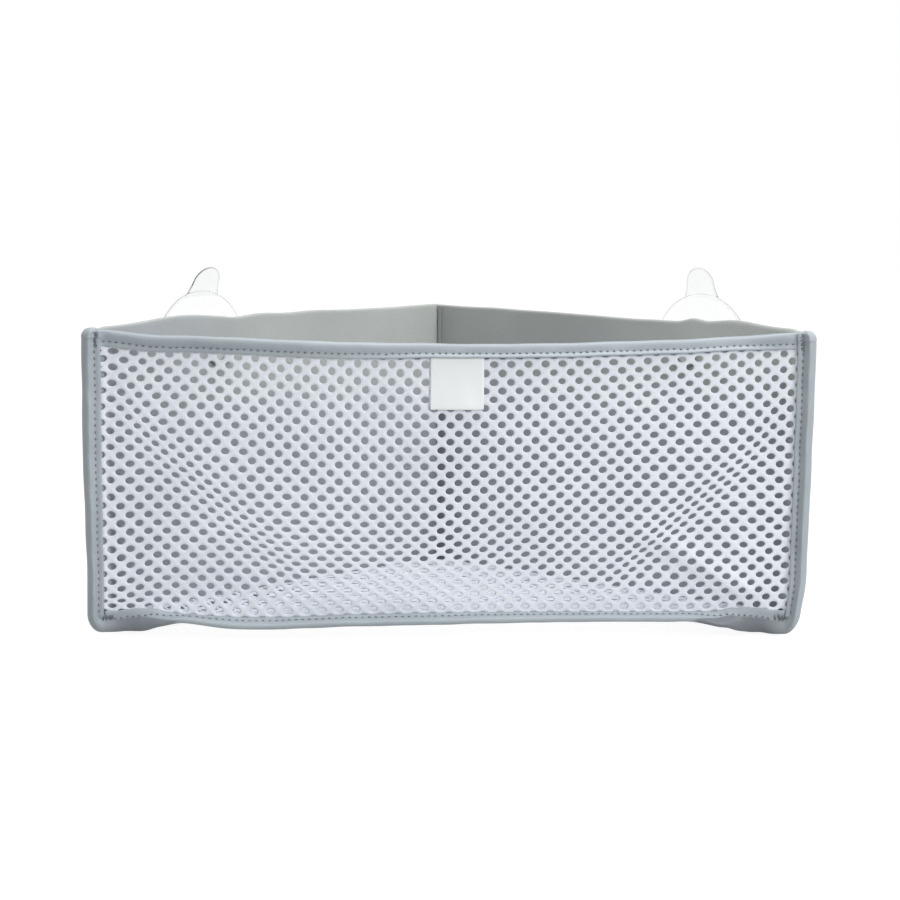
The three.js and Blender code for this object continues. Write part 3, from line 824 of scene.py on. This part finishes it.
def lifted(surface, u, v, lift):
    """Points of a surface, moved along its normal by lift."""
    h = 0.05
    du = surface(u + h, v) - surface(u - h, v)
    dv = surface(u, v + h) - surface(u, v - h)
    return surface(u, v) + unit(np.cross(du, dv)) * np.reshape(lift, (-1, 1))


def knit(node, surface, keep, span_v, seed, lie=None):
    """A knit of staggered oval gaps over a surface. keep says which flat points the cut holds.

    lie gives each gap's lean and how slack, so how round, it is.
    """
    rng = np.random.default_rng(seed)
    pitch = NET_ACROSS / 6, NET_UP / 6
    offsets = np.array([(3, 0), (2, 1), (1, 2), (0, 3), (-1, 2), (-2, 1),
                        (-3, 0), (-2, -1), (-1, -2), (0, -3), (1, -2), (2, -1)])
    around = len(offsets)
    rows, columns = (range(floor(low / step), ceil(high / step) + 1)
                     for (low, high), step in ((span_v, NET_UP / 2), (NET_SPAN, NET_ACROSS)))
    cells = np.array([(6 * i + 3 * (j % 2), 3 * j) for j in rows for i in columns])
    corners = (cells[:, None, :] + offsets) * pitch
    cells = cells[keep(corners[..., 0], corners[..., 1]).all(axis=1)]
    count = len(cells)

    keys, index = np.unique((cells[:, None, :] + offsets).reshape(-1, 2), axis=0, return_inverse=True)
    border = index.reshape(count, around)
    shared = len(keys)
    junction = (np.abs(keys[:, 0]) + np.abs(keys[:, 1])) % 3 == 0
    centre = cells * pitch
    turn = np.arange(around) * 2 * pi / around
    lean, slack = lie(*centre.T) if lie else (0.0, 0.0)
    tilt = rng.normal(0, 0.05, count) + lean
    drawn = swell(centre[:, 0], centre[:, 1], 170, seed)
    wide = HOLE_WIDTH / 2 * (1 + rng.normal(0, 0.035, count) - 0.06 * drawn - 0.14 * slack)
    high = HOLE_HEIGHT / 2 * (1 + rng.normal(0, 0.05, count) + 0.09 * drawn + 0.08 * slack)

    def oval(grow):
        ru = (wide + grow)[:, None] * np.cos(turn)
        rv = (high + grow)[:, None] * np.sin(turn)
        c, s = np.cos(tilt)[:, None], np.sin(tilt)[:, None]
        leant = np.stack([ru * c - rv * s, ru * s + rv * c], -1)
        return (centre[:, None, :] + leant).reshape(-1, 2)

    # Layers of points from the front's yarn middles through the gap's edge to the back's
    half = NET_THICKNESS / 2
    middles = keys * pitch
    middle_lift = np.where(junction, half - 0.1, half - 0.02)
    crest, crest_lift = oval(YARN_ROUND), half + 0.06
    layers = [(middles, middle_lift), (crest, crest_lift), (oval(0.0), 0.0), (crest, -crest_lift),
              (middles, -middle_lift)]
    points = np.concatenate([lifted(surface, *flat.T, lift) for flat, lift in layers])
    rim = shared + np.arange(border.size).reshape(border.shape)
    back = shared + 3 * border.size
    rings = [border, rim, rim + border.size, rim + 2 * border.size, border + back]
    faces = [bridge(outer, inner) for outer, inner in zip(rings[:-1], rings[1:])]

    # Closed edge round the cut
    ends = np.stack([border, np.roll(border, -1, 1)], -1).reshape(-1, 2)
    _, first, uses = np.unique(np.sort(ends, axis=1), axis=0, return_index=True, return_counts=True)
    start, end = ends[first[uses == 1]].T
    faces.append(np.stack([start, end, end + back, start + back], 1))
    return stand(add_mesh(f"{node}_knit", points, np.concatenate(faces), KNIT), node)


def stretch(u):
    """The knit is drawn wider along its left edge."""
    return u - 4.0 * np.exp(-np.maximum(u + 186, 0) / 30)


def gathered(x, z):
    """Moves in x and z that draw the knit's rows together along a slanting line on each side."""
    dx, dz = sin(GATHER_SLOPE), cos(GATHER_SLOPE)
    middle = np.where(x < 0, GATHER_X[-1], GATHER_X[1])
    off = (z - GATHER_Z) * dz - (np.abs(x) - middle) * dx
    share = np.where(x < 0, GATHER_SHARE[-1], GATHER_SHARE[1]) * ease((np.abs(x) - 65) / 40)
    draw = -share * off * np.exp(-0.5 * (off / GATHER_WIDTH) ** 2)
    return -np.sign(x) * dx * draw, dz * draw


def front_surface(u, v):
    """The front net, v up from the lower seam. It bends forward into its seams."""
    u = stretch(u)
    side = np.sign(u)
    beyond = np.maximum(np.abs(u) - HALF_FRONT, 0)
    x = np.clip(u, -HALF_FRONT, HALF_FRONT)
    up = np.clip(v / NET_HEIGHT, 0, 1)
    belly = 5.5 * np.sin(pi * up) * (1 - (x / HALF_FRONT) ** 2)
    belly += 3.2 * hump(v, 52, 26) * hump(x, -40, 60)
    edge_pull = 5.0 * hump(x, -180, 26) * hump(v, 26, 34) * ease(v / 14)
    pull = 1.2 * swell(x, v, 210, 61)
    inside = ease(v / 30) * ease((NET_HEIGHT - v) / 30) * ease((HALF_FRONT - np.abs(x)) / 25)
    low = foot_z(x)
    z = low + np.maximum(v, 0) * (hem_z(x) - low) / NET_HEIGHT
    z = z - belly * ease(v / 20) * ease((NET_HEIGHT - v) / 20) - pull * inside - edge_pull
    z += 1.5 * hump(x, -110, 30) * hump(v, 24, 22) * ease(v / 12)
    gather_x, gather_z = gathered(x, z)
    z += gather_z * inside
    drawn = 4.0 * ease((v - 95) / 45) * np.exp(-np.maximum(u + 186, 0) / 70) * ease((u + 190) / 24)
    left_ridge = 1.7 * hump((v - 8) * 0.8 - (x + 172) * 0.6, 0, 8)
    right_ridge = 1.9 * hump((v - 6) * 0.85 + (x - 168) * 0.53, 0, 7)
    ridge = left_ridge * ease((x + 176) / 20) * ease((-95 - x) / 50)
    ridge += right_ridge * ease((174 - x) / 20) * ease((x - 90) / 40)
    calm = 1 - hump(x, LABEL_SHIFT, 28) * ease((v - 80) / 25)
    wave = (swell(x, v, 120, 62) * calm - ridge) * ease(v / 14) * ease((NET_HEIGHT - 8 - v) / 20)
    y = FRONT_Y + wave * ease((HALF_FRONT - np.abs(x)) / 14) - beyond * SEAM_SIN
    y += np.tan(hem_roll(x)) * np.maximum(v - NET_HEIGHT + HEM_LINE, 0)
    x = x + side * beyond * SEAM_COS + drawn + gather_x * inside
    below = np.maximum(-v, 0)
    turn = lower_turn(x)
    return np.stack([x, y - below * np.sin(turn), z - below * np.cos(turn)], -1)


def front_lie(u, v):
    """The gaps lean where the knit is drawn slantwise. They are rounder high up and by the sides."""
    lean = 0.3 * ease((u + 40) / 70) * ease((150 - u) / 25) * ease((115 - v) / 60)
    lean += 0.14 * ease((-135 - u) / 30)
    high = ease((v - 45 - 35 * ease(u / 60)) / 50) * ease((np.abs(u) - 10) / 40)
    sides = ease((-80 - u) / 40) + ease((u - 130) / 30)
    return lean, np.maximum(high, 0.8 * sides)


def make_front_net():
    def keep(u, v):
        beyond = np.abs(stretch(u)) - HALF_FRONT
        past = beyond - SEAM_DEPTH + SEAM_CORNER
        below = ARC_TOP - foot_z(stretch(u)) - v
        outside = (past > 0) & (below > 0) & (np.hypot(past, below) > SEAM_CORNER - 1.5)
        return (beyond < SEAM_DEPTH - 0.5) & (v < NET_HEIGHT - 0.2) & (v > -6) & ~outside

    net = knit("front_net", front_surface, keep, (-10, 155), 71, front_lie)


def bottom_surface(u, v):
    """The bottom net, v back from the front seam. It turns down into its seams."""
    y = FRONT_Y + NET_FACE + LAYER_GAP + np.maximum(v, 0)
    to_wall = (CORNER_Y - y) * HALF - np.abs(u) * HALF
    turned = np.maximum(LAYER_GAP + NET_FACE - to_wall, 0)
    x = u - np.sign(u) * turned * HALF
    inside = ease((to_wall - 1) / 40) * ease(v / 40)
    sag = 2.2 * inside + 0.8 * swell(u, v, 110, 81) * inside
    sag += 3.0 * hump(u, -130, 50) * ease((to_wall - 1) / 14) * ease(v / 20)
    below = np.maximum(-v, 0)
    turn = lower_turn(u)
    level = BOTTOM_Z + (foot_z(u) - FOOT_Z) * np.exp(-np.maximum(v, 0) / 35)
    y, z = y - turned * HALF, level - turned - sag
    return np.stack([x, y - below * np.sin(turn), z - below * np.cos(turn)], -1)


def make_bottom_net():
    def keep(u, v):
        y = FRONT_Y + NET_FACE + LAYER_GAP + v
        to_wall = (CORNER_Y - y) * HALF - np.abs(u) * HALF
        by_seam = (np.abs(u) > 168) & (v < 2)
        return (to_wall > np.where(np.abs(u) > 14, -8.5, 0.4)) & (v > -6) & ~by_seam

    net = knit("bottom_net", bottom_surface, keep, (-10, 195), 91)


# Label
def make_label():
    hem_edge = hem_z(LABEL_SHIFT) - TAPE_REACH
    width, height = LABEL_WIDTH, LABEL_DROP + LABEL_TUCK
    edge = 0.8
    inner_u = np.linspace(edge, width - edge, 26)
    u = np.r_[0, 0.25, inner_u, width - 0.25, width] - width / 2
    v = np.r_[0, 0.25, np.linspace(edge, height, 30)]
    gu, gv = np.meshgrid(u, v, indexing="ij")
    gu = gu - np.sign(gu) * rounding(LABEL_CORNER, gv) * (np.abs(gu) > width / 2 - 2)
    free = ease((LABEL_DROP - gv) / LABEL_DROP)
    curl = 0.9 * free**2 + 0.35 * free * np.cos(gu / width * 2 * pi)
    curl += 0.15 * ripple(gu + 0.4 * gv, (11, 19, 29), 7)
    z = hem_edge - LABEL_DROP + gv
    base = FRONT_Y - NET_FACE - LAYER_GAP - 0.05 - curl * free
    in_hem = np.maximum(gv - LABEL_DROP - TAPE_REACH + HEM_LINE, 0)
    base += tan(hem_roll(LABEL_SHIFT)) * in_hem
    from_edge = np.minimum(np.minimum(width / 2 - np.abs(gu), gv), edge)
    left = np.sqrt(np.clip(1 - (1 - from_edge / edge) ** 2, 0.02, 1))
    round_in = LABEL_THICKNESS / 2 * (1 - left)
    front = np.stack([gu + LABEL_SHIFT, base - LABEL_THICKNESS + round_in, z], -1)
    back = np.stack([gu + LABEL_SHIFT, base - round_in, z], -1)
    rows, columns = gu.shape
    flat = quads(rows, columns)
    count = rows * columns
    i, j = grid_rim(rows, columns)
    loop = i * columns + j
    points = np.r_[front.reshape(-1, 3), back.reshape(-1, 3)]
    faces = flat.tolist() + (flat + count).tolist() + bridge(loop, loop + count)
    label = stand(add_mesh("label_ribbon", points, faces, RIBBON), "label")


# Suction cups, turned about an axis that points out from the wall
HUB_START = WALL_THICKNESS + LAYER_GAP
HUB_END = HUB_START + HUB_DEPTH
RIM_FACE = HUB_END + CUP_DEPTH
CUP_AROUND = 96


def cup_profile():
    """Radius and place along the axis, from the head's middle round to the hollow's."""
    head_end = -LAYER_GAP - HEAD_DEPTH
    profile = [(0.0, head_end)]
    for t in np.linspace(0, pi / 2, 6):
        radius = HEAD_RADIUS - HEAD_ROUND * (1 - sin(t))
        profile.append((radius, head_end + HEAD_ROUND * (1 - cos(t))))
    profile += [(HEAD_RADIUS, -LAYER_GAP - 0.5), (HEAD_RADIUS - 0.5, -LAYER_GAP),
                (NECK_RADIUS + 0.3, -LAYER_GAP), (NECK_RADIUS, 0.0), (NECK_RADIUS, HUB_START - 0.2),
                (HUB_RADIUS - 0.5, HUB_START), (HUB_RADIUS, HUB_START + 0.5)]
    for share in np.linspace(0, 1, 20):
        radius = HUB_RADIUS + (CUP_RADIUS - HUB_RADIUS) * share
        profile.append((radius, HUB_END + (CUP_DEPTH - CUP_LIP) * share**CUP_FLARE))
    for t in np.linspace(-pi / 2, pi / 2, 6)[1:]:
        rise = CUP_LIP / 2 * sin(t)
        profile.append((CUP_RADIUS - 0.3 + 0.3 * cos(t), RIM_FACE - CUP_LIP / 2 + rise))
    for share in np.linspace(1, 0, 18):
        hollow = (CUP_DEPTH - CUP_CROWN) * (1 - share**2)
        profile.append(((CUP_RADIUS - CUP_RIM) * share, RIM_FACE - hollow))
    return np.array(profile)


def add_finishes(piece, finish):
    """Gives each face one of the cup's finishes: 0 clear, 1 stud, 2 edge, made greyer as painted shade."""
    piece.data.materials.append(STUD_VINYL)
    piece.data.materials.append(EDGE_SHADE_VINYL)
    piece.data.polygons.foreach_set("material_index", finish.astype(np.int32))


def make_bell(name, centre, outward, across, up):
    """Head, neck, hub and bell."""
    profile = cup_profile()
    inner = profile[1:-1]
    turn = np.linspace(0, 2 * pi, CUP_AROUND, endpoint=False)
    ring = np.cos(turn)[:, None] * across + np.sin(turn)[:, None] * up
    points = centre + inner[:, None, 1:2] * outward + inner[:, None, 0:1] * ring
    points = np.r_[points.reshape(-1, 3), centre + profile[[0, -1], 1:] * outward]
    faces = quads(len(inner), CUP_AROUND, True).tolist()
    first, last, base = len(points) - 2, len(points) - 1, (len(inner) - 1) * CUP_AROUND
    faces += [[first, (i + 1) % CUP_AROUND, i] for i in range(CUP_AROUND)]
    faces += [[last, base + i, base + (i + 1) % CUP_AROUND] for i in range(CUP_AROUND)]
    bell = add_mesh(name, points, faces, VINYL, soft=False)
    rim = np.minimum(inner[:-1, 0], inner[1:, 0]) > CUP_RADIUS - 1.4
    under_tab = np.abs(turn - pi / 2) < asin(TAB_WIDTH / 2 / CUP_RADIUS)
    # The rim, away from the tab, takes the painted edge shade
    finish = np.where(rim[:, None] & ~under_tab, 2, (inner[1:, 1] < 0)[:, None]).ravel()
    add_finishes(bell, np.r_[finish, np.ones(CUP_AROUND), np.zeros(CUP_AROUND)])
    return bell


def make_tab(name, root, across, rise, stand_off):
    """Pull tab with a rounded edge."""
    top = TAB_ROOT + TAB_LENGTH - TAB_TIP_RADIUS
    flank = np.linspace(0, 1, 9)[:-1]
    wide = TAB_WIDTH / 2 + (TAB_TIP_RADIUS - TAB_WIDTH / 2) * flank + 1.5 * (1 - flank) ** 4
    right_flank = np.stack([wide, top * flank], -1)
    arc = np.linspace(0, pi, 25)
    tip = np.stack([TAB_TIP_RADIUS * np.cos(arc), top + TAB_TIP_RADIUS * np.sin(arc)], -1)
    outline = np.r_[right_flank, tip, right_flank[::-1] * (-1, 1)]
    to_middle = unit(np.array([0, top]) - outline)
    rings = []
    for inset, n in ((2.2, 0.12), (1.0, 0.1), (0.25, 0.35), (0, 0.8), (0.25, 1.25), (1.0, 1.5), (2.2, 1.48)):
        pulled = outline + to_middle * inset
        rings.append(root + n * stand_off + pulled[:, :1] * across + pulled[:, 1:] * rise)
    tab = add_mesh(f"{name}_tab", *loft(np.array(rings)), VINYL, soft=False)
    # The tab's edge bands take the painted edge shade
    band = np.repeat([0, 2, 2, 2, 2, 0], len(outline))
    add_finishes(tab, np.r_[band, 0, 0])
    return tab


def make_cup(side):
    """A cup in one moulding: its bell with its tab joined to it."""
    name = f"{SIDES[side]}_cup_vinyl"
    corner, along, outward, up = wall_frame(side)
    across = np.cross(up, outward)
    centre = corner + (WALL_LENGTH - CUP_INSET[side]) * along + CUP_Z * up
    bell = make_bell(name, centre, outward, across, up)
    lean_up, lean_out = sin(TAB_LEAN[side]), cos(TAB_LEAN[side])
    root = centre + (CUP_RADIUS - TAB_ROOT) * up + (RIM_FACE - TAB_SETBACK - TAB_THICKNESS) * outward
    tab = make_tab(name, root, across, lean_out * up - lean_up * outward, lean_up * up + lean_out * outward)
    join = bell.modifiers.new("tab", "BOOLEAN")
    join.operation, join.solver, join.object = "UNION", "EXACT", tab
    bpy.context.view_layer.update()
    evaluated = bell.evaluated_get(bpy.context.evaluated_depsgraph_get())
    joined = bpy.data.meshes.new_from_object(evaluated)
    bell.modifiers.remove(join)
    joined.set_sharp_from_angle(angle=radians(40))
    bell.data = joined
    bpy.data.objects.remove(tab)
    stand(bell, f"{SIDES[side]}_suction_cup", f"{SIDES[side]}_cup")


for side in SIDES:
    make_wall(side)
make_front_net()
make_bottom_net()
for side, seed in ((-1, 101), (1, 111)):
    runs = [foot_frames(side), upright_frames(side)]
    node = f"{SIDES[side]}_binding"
    tape(f"{node}_tape", node, runs, seed, rounded_end=True, tacks=[(-6.0, 6.4)])
tape("top_hem_tape", "top_hem_binding", [hem_frames()], 121, full=HEM_WIDTH, line=HEM_LINE)
tape("lower_front_tape", "lower_front_binding", [lower_frames()], 131,
     tacks=[(14.5, 6.6), (-14.5, 6.6)], paint_twist_shade=True)
make_label()
for side in SIDES:
    make_cup(side)


# Floor and world: white to the camera, with the object's shadow kept on the floor
FLOOR_SIZE = 6.0
FLOOR_Z = -0.0026


def empty_tree(owner):
    owner.use_nodes = True
    owner.node_tree.nodes.clear()
    return owner.node_tree


def show_by_ray(tree, unseen, seen, output):
    """One shader for rays from the camera, gloss or clear pieces, another for the rest."""
    path = add_node(tree, "LightPath")
    camera, gloss, clear = (path.outputs[f"Is {kind} Ray"] for kind in ("Camera", "Glossy", "Transmission"))
    some = add_node(tree, "Math", {0: camera, 1: gloss}, operation="MAXIMUM")
    every = add_node(tree, "Math", {0: some.outputs[0], 1: clear}, operation="MAXIMUM")
    inputs = {0: every.outputs[0], 1: unseen.outputs[0], 2: seen.outputs[0]}
    both = add_node(tree, "MixShader", inputs)
    add_node(tree, output, {"Surface": both.outputs[0]})


def make_floor():
    corners = [(-1, -1), (1, -1), (1, 1), (-1, 1)]
    mesh = bpy.data.meshes.new("floor")
    mesh.from_pydata([(FLOOR_SIZE * x, FLOOR_SIZE * y, 0) for x, y in corners], [], [(0, 1, 2, 3)])
    plane = add_object("floor", mesh)
    plane.location.z = FLOOR_Z
    material = bpy.data.materials.new("white_floor")
    tree = empty_tree(material)
    bounce = add_node(tree, "BsdfDiffuse", {"Color": (0.5, 0.5, 0.5, 1)})
    soft = add_node(tree, "BsdfDiffuse", {"Color": (0.24, 0.24, 0.24, 1)})
    glow = add_node(tree, "Emission", {"Color": (1, 1, 1, 1), "Strength": 0.9})
    seen = add_node(tree, "AddShader", {0: soft.outputs[0], 1: glow.outputs[0]})
    show_by_ray(tree, bounce, seen, "OutputMaterial")
    mesh.materials.append(material)


make_floor()
world = bpy.data.worlds.new("studio")
bpy.context.scene.world = world
tree = empty_tree(world)
ambient = add_node(tree, "Background", {"Color": (1.0, 1.0, 0.985, 1), "Strength": 0.5})
white = add_node(tree, "Background", {"Color": (1, 1, 1, 1), "Strength": 1.0})
show_by_ray(tree, ambient, white, "OutputWorld")


# Lamps
def area_lamp(name, place, target, size, watts, colour):
    lamp = bpy.data.lights.new(name, "AREA")
    lamp.shape, lamp.size, lamp.energy, lamp.color = "SQUARE", size, watts, colour
    obj = add_object(name, lamp)
    obj.location = place
    obj.rotation_euler = (Vector(target) - Vector(place)).to_track_quat("-Z", "Y").to_euler()


area_lamp("key", (1.273, -1.413, 0.7), (0, 0, 0.08), 0.8, 18.0, (1.0, 0.99, 0.97))
area_lamp("top", (0.1, -0.1, 1.5), (0, 0, 0.05), 0.8, 15.0, (1.0, 1.0, 1.0))

# Camera at the photograph's place
CAMERA_AT = (-0.06, FRONT_Y * MM - 1.455, 0.28)
CAMERA_PITCH, CAMERA_YAW, CAMERA_ROLL = 0.1253, 0.0412, 0.0079
CAMERA_FOCUS = 2805.0
IMAGE_SIZE = 900.0
right = Vector((cos(CAMERA_YAW), -sin(CAMERA_YAW), 0))
level = Vector((sin(CAMERA_YAW), cos(CAMERA_YAW), 0))
forward = level * cos(CAMERA_PITCH) - Vector((0, 0, sin(CAMERA_PITCH)))
upward = right.cross(forward)
turned_right = right * cos(CAMERA_ROLL) + upward * sin(CAMERA_ROLL)
turned_up = upward * cos(CAMERA_ROLL) - right * sin(CAMERA_ROLL)
lens = bpy.data.cameras.new("camera")
lens.sensor_width = 36.0
lens.lens = CAMERA_FOCUS / IMAGE_SIZE * lens.sensor_width
camera = add_object("camera", lens)
turned = Matrix((turned_right, turned_up, -forward)).transposed().to_4x4()
camera.matrix_world = Matrix.Translation(CAMERA_AT) @ turned
bpy.context.scene.camera = camera
bpy.context.scene.view_settings.view_transform = "Standard"
